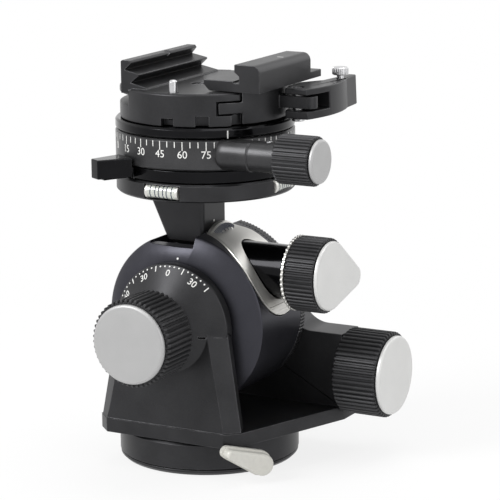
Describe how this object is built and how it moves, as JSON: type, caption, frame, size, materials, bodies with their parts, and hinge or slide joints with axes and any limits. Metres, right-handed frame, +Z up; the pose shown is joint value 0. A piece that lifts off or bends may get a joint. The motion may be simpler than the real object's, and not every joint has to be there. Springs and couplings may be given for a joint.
{
  "type": "geared tripod head",
  "caption": "Geared tripod head: barrel tilting in an upright frame, rocking stem, panning base and graduated panning table with a lever-operated dovetail clamp.",
  "frame": {"origin": "centre of the base's underside, on the vertical axis that the base pans about", "axes": "+Z up; -Y towards the front, where the tilt clamp knob and its dial are; +X towards the side of the two drive knobs"},
  "size_m": [0.0896, 0.0864, 0.1341],
  "materials": {
    "black_anodised": "satin black anodised",
    "blue_grey_anodised": "satin blue-grey anodised",
    "gloss_black": "glossy black anodised",
    "knurl_black": "ribbed, satin black",
    "silver_anodised": "natural anodised",
    "pearl_cap": "fine matt silver",
    "white_lacquer": "smooth off-white lacquer",
    "steel": "turned",
    "bronze": "turned",
    "vial_glass": "clear, filled",
    "polymer": "smooth"
  },
  "bodies": {
    "tripod_puck": {"base_puck": "black_anodised", "base_retainer": "steel", "thread_insert": "steel"},
    "frame": {"main_frame": "black_anodised", "base_housing": "black_anodised", "base_lock_shoe": "bronze", "front_axle_bush": "bronze", "rear_axle_bush": "bronze", "worm_bush": "bronze", "rear_cover": "black_anodised"},
    "base_lock": {"base_lock_lever": "white_lacquer", "base_lock_screw": "steel"},
    "tilt_clamp_knob": {"front_knob": "knurl_black", "front_knob_cap": "pearl_cap", "front_knob_washer": "polymer"},
    "tilt_drive": {"lower_knob": "knurl_black", "lower_knob_cap": "pearl_cap", "worm_shaft": "steel"},
    "tilt_barrel": {"barrel": "blue_grey_anodised", "toothed_rim": "black_anodised", "main_axle": "steel", "worm_wheel": "bronze", "axle_nut": "steel", "saddle": "silver_anodised", "tilt_tube": "gloss_black", "tube_washer": "silver_anodised", "tube_bush": "bronze", "gear_plate_right": "silver_anodised", "gear_plate_left": "silver_anodised", "rock_axle": "steel"},
    "lay_gear": {"layshaft": "steel"},
    "rock_drive": {"lobe_knob": "knurl_black", "lobe_knob_cap": "pearl_cap", "knob_shaft": "steel"},
    "rocking_stem": {"stem": "black_anodised", "sector_gear": "bronze", "pan_base_plate": "black_anodised", "front_level_vial": "vial_glass", "side_level_vial": "vial_glass", "graduated_ring": "black_anodised", "pan_worm_bush": "bronze", "collar_screw": "steel"},
    "head_release": {"release_ring": "gloss_black"},
    "pan_drive": {"pan_knob": "knurl_black", "pan_knob_cap": "pearl_cap", "pan_worm_shaft": "steel"},
    "pan_table": {"index_ring": "gloss_black", "pan_spindle": "steel", "pan_spindle_nut": "steel", "pan_worm_wheel": "bronze", "clamp_body": "black_anodised", "clamp_screw_front": "steel", "clamp_screw_rear": "steel"},
    "moving_jaw": {"clamp_jaw": "black_anodised", "jaw_draw_bar": "steel"},
    "clamp_lever": {"flip_lever": "black_anodised", "lever_pivot_pin": "steel"},
    "lever_lock": {"lever_button": "steel"},
    "plate_stop": {"safety_pin": "steel"}
  },
  "joints": [
    {"name": "base_pan", "type": "hinge", "parent": "tripod_puck", "child": "frame", "pos_m": [0, 0, 0.006], "axis": [0, 0, 1], "continuous": true},
    {"name": "base_lock_turn", "type": "hinge", "parent": "frame", "child": "base_lock", "pos_m": [0.02989, -0.02164, 0.0059], "axis": [0.81, -0.5864, 0], "range_deg": [-28, 34]},
    {"name": "tilt_clamp_turn", "type": "hinge", "parent": "frame", "child": "tilt_clamp_knob", "pos_m": [0, -0.04, 0.04825], "axis": [0, 1, 0], "range_deg": [0, 180]},
    {"name": "main_tilt", "type": "hinge", "parent": "frame", "child": "tilt_barrel", "pos_m": [0, 0, 0.04825], "axis": [0, 1, 0], "range_deg": [-90, 15]},
    {"name": "tilt_drive_turn", "type": "hinge", "parent": "frame", "child": "tilt_drive", "pos_m": [0.045, 0.0207, 0.0279], "axis": [1, 0, 0], "range_deg": [-3300, 560]},
    {"name": "rock_tilt", "type": "hinge", "parent": "tilt_barrel", "child": "rocking_stem", "pos_m": [0, 0, 0.0645], "axis": [1, 0, 0], "range_deg": [-22, 22]},
    {"name": "lay_gear_turn", "type": "hinge", "parent": "tilt_barrel", "child": "lay_gear", "pos_m": [0, 0, 0.0554], "axis": [1, 0, 0], "range_deg": [-60, 60]},
    {"name": "rock_drive_turn", "type": "hinge", "parent": "tilt_barrel", "child": "rock_drive", "pos_m": [0.04, 0, 0.0645], "axis": [1, 0, 0], "range_deg": [-150, 150]},
    {"name": "release_turn", "type": "hinge", "parent": "rocking_stem", "child": "head_release", "pos_m": [0, 0, 0.0985], "axis": [0, 0, 1], "range_deg": [-15, 15]},
    {"name": "pan_turn", "type": "hinge", "parent": "rocking_stem", "child": "pan_table", "pos_m": [0, 0, 0.111], "axis": [0, 0, 1], "continuous": true},
    {"name": "pan_drive_turn", "type": "hinge", "parent": "rocking_stem", "child": "pan_drive", "pos_m": [0.045, -0.021, 0.106], "axis": [1, 0, 0], "continuous": true},
    {"name": "jaw_slide", "type": "slide", "parent": "pan_table", "child": "moving_jaw", "axis": [1, 0, 0], "range_m": [0, 0.003]},
    {"name": "clamp_lever_turn", "type": "hinge", "parent": "moving_jaw", "child": "clamp_lever", "pos_m": [0.0332, 0.0022, 0.12], "axis": [0, 0, 1], "range_deg": [-92, 0]},
    {"name": "lever_lock_press", "type": "slide", "parent": "clamp_lever", "child": "lever_lock", "axis": [0, 0, -1], "range_m": [0, 0.001], "stiffness_N_per_m": 300, "springref_m": -0.0006},
    {"name": "plate_stop_press", "type": "slide", "parent": "pan_table", "child": "plate_stop", "axis": [0, 0, -1], "range_m": [0, 0.0035], "stiffness_N_per_m": 150, "springref_m": -0.001}
  ],
  "couplings": [
    {"joint": "tilt_drive_turn", "follows": "main_tilt", "ratio": 36},
    {"joint": "lay_gear_turn", "follows": "rock_tilt", "ratio": -2.6},
    {"joint": "rock_drive_turn", "follows": "rock_tilt", "ratio": 6.76},
    {"joint": "pan_drive_turn", "follows": "pan_turn", "ratio": 36},
    {"joint": "clamp_lever_turn", "follows": "jaw_slide", "rad_per_m": -523.6}
  ]
}
